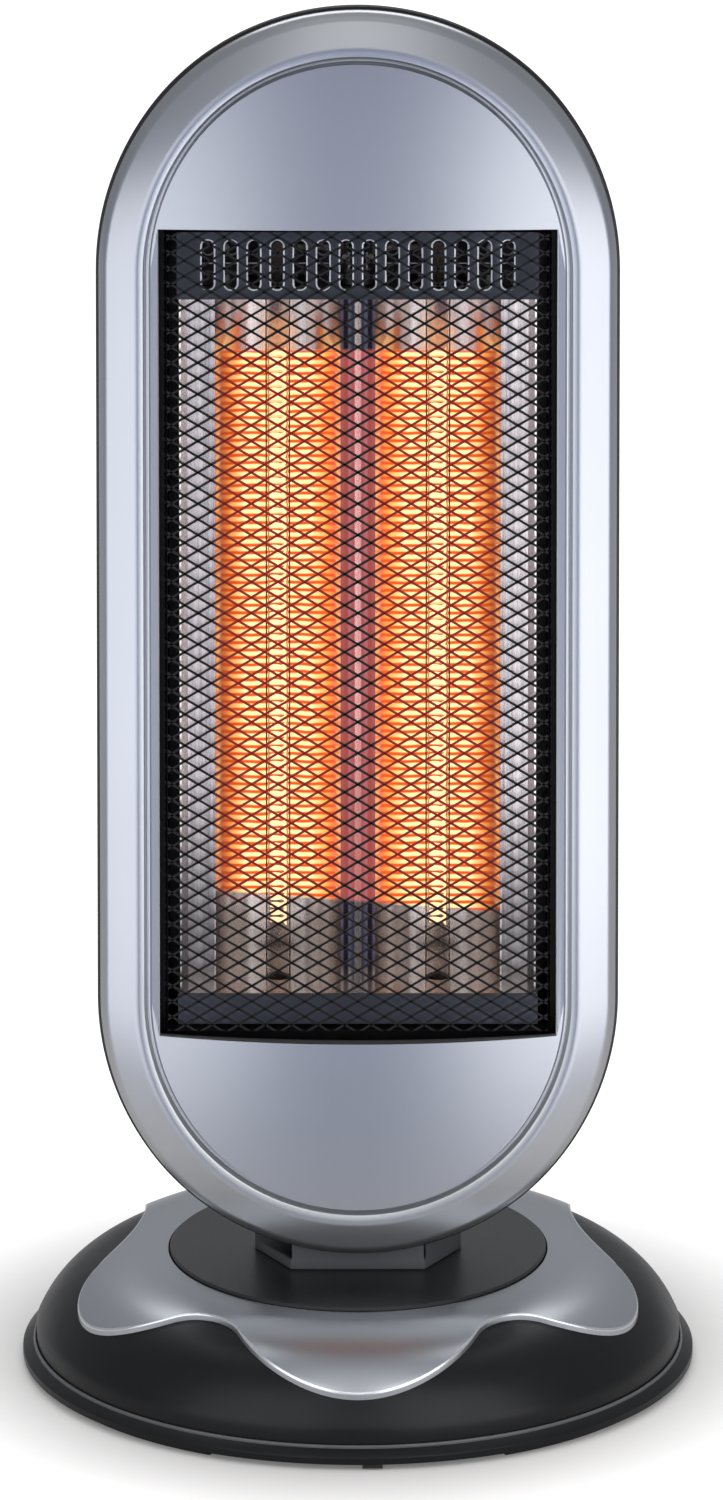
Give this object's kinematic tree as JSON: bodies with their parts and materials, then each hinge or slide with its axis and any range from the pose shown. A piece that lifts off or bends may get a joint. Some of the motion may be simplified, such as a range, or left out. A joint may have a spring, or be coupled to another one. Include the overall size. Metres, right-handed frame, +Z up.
{
  "type": "oscillating carbon heater",
  "caption": "Tall stadium-shaped radiant heater with quartz tubes behind an expanded-metal guard, swinging from side to side on a round base.",
  "frame": {"origin": "centre of the base on the floor, on the swing axis", "axes": "+Z up along the swing axis, +X to the viewer's right, -Y to the heated front"},
  "size_m": [0.3, 0.3, 0.6469],
  "materials": {
    "silver_paint": "satin silver paint on the moulded frame",
    "deck_silver": "satin silver paint on the deck moulding",
    "black_gloss": "glossy black moulded plastic",
    "black_plastic": "black moulded plastic",
    "white_plastic": "pale moulded nylon",
    "black_paint": "black paint on expanded steel",
    "plate_paint": "dark coat on sheet steel",
    "bright_sheet": "bright rolled sheet",
    "zinc_steel": "zinc-plated steel",
    "quartz": "clear quartz",
    "carbon": "glowing carbon ribbon",
    "ceramic": "white steatite",
    "sleeving": "woven glass sleeving",
    "rubber": "black rubber"
  },
  "bodies": {
    "base": {"base_shell": "black_gloss", "deck_cover": "deck_silver", "base_plate": "black_plastic", "rubber_feet": "rubber", "bearing_ring": "white_plastic", "swing_motor": "zinc_steel", "motor_screws": "zinc_steel", "base_screws": "zinc_steel", "tip_switch": "white_plastic", "terminal_block": "white_plastic", "cord_gland": "black_plastic"},
    "head": {"turntable": "black_gloss", "thrust_washer": "white_plastic", "drive_arm": "zinc_steel", "arm_screws": "zinc_steel", "neck": "black_gloss", "neck_bracket": "zinc_steel", "neck_screws": "zinc_steel", "bracket_screws": "zinc_steel", "front_frame": "silver_paint", "rear_cover": "black_plastic", "cover_screws": "zinc_steel", "mesh_guard": "black_paint", "guard_screws": "zinc_steel", "reflector": "bright_sheet", "upper_end_plate": "plate_paint", "lower_end_plate": "plate_paint", "plate_screws": "zinc_steel", "quartz_tube_left": "quartz", "quartz_tube_right": "quartz", "carbon_filament_left": "carbon", "carbon_filament_right": "carbon", "upper_end_caps": "ceramic", "lower_end_caps": "ceramic", "upper_cap_straps": "zinc_steel", "lower_cap_straps": "zinc_steel", "thermal_cutout": "zinc_steel", "upper_leads": "sleeving", "lower_leads": "sleeving", "selector_switch": "black_plastic"},
    "crank": {"crank": "white_plastic"},
    "selector_knob": {"selector_knob": "black_plastic"},
    "tip_plunger": {"tip_plunger": "white_plastic"}
  },
  "joints": [
    {"name": "head_swing", "type": "hinge", "parent": "base", "child": "head", "pos_m": [0, 0, 0.05], "axis": [0, 0, 1], "range_deg": [-27, 27]},
    {"name": "crank_turn", "type": "hinge", "parent": "base", "child": "crank", "pos_m": [0, 0.048, 0.03], "axis": [0, 0, 1], "range_deg": [-90, 90]},
    {"name": "selector_turn", "type": "hinge", "parent": "head", "child": "selector_knob", "pos_m": [0, 0.03, 0.154], "axis": [0, 1, 0], "range_deg": [0, 120]},
    {"name": "plunger_slide", "type": "slide", "parent": "base", "child": "tip_plunger", "axis": [0, 0, 1], "range_m": [-0.004, 0], "stiffness_N_per_m": 100, "springref_m": -0.006}
  ],
  "couplings": [
    {"joint": "crank_turn", "follows": "head_swing", "ratio": 3.279}
  ]
}
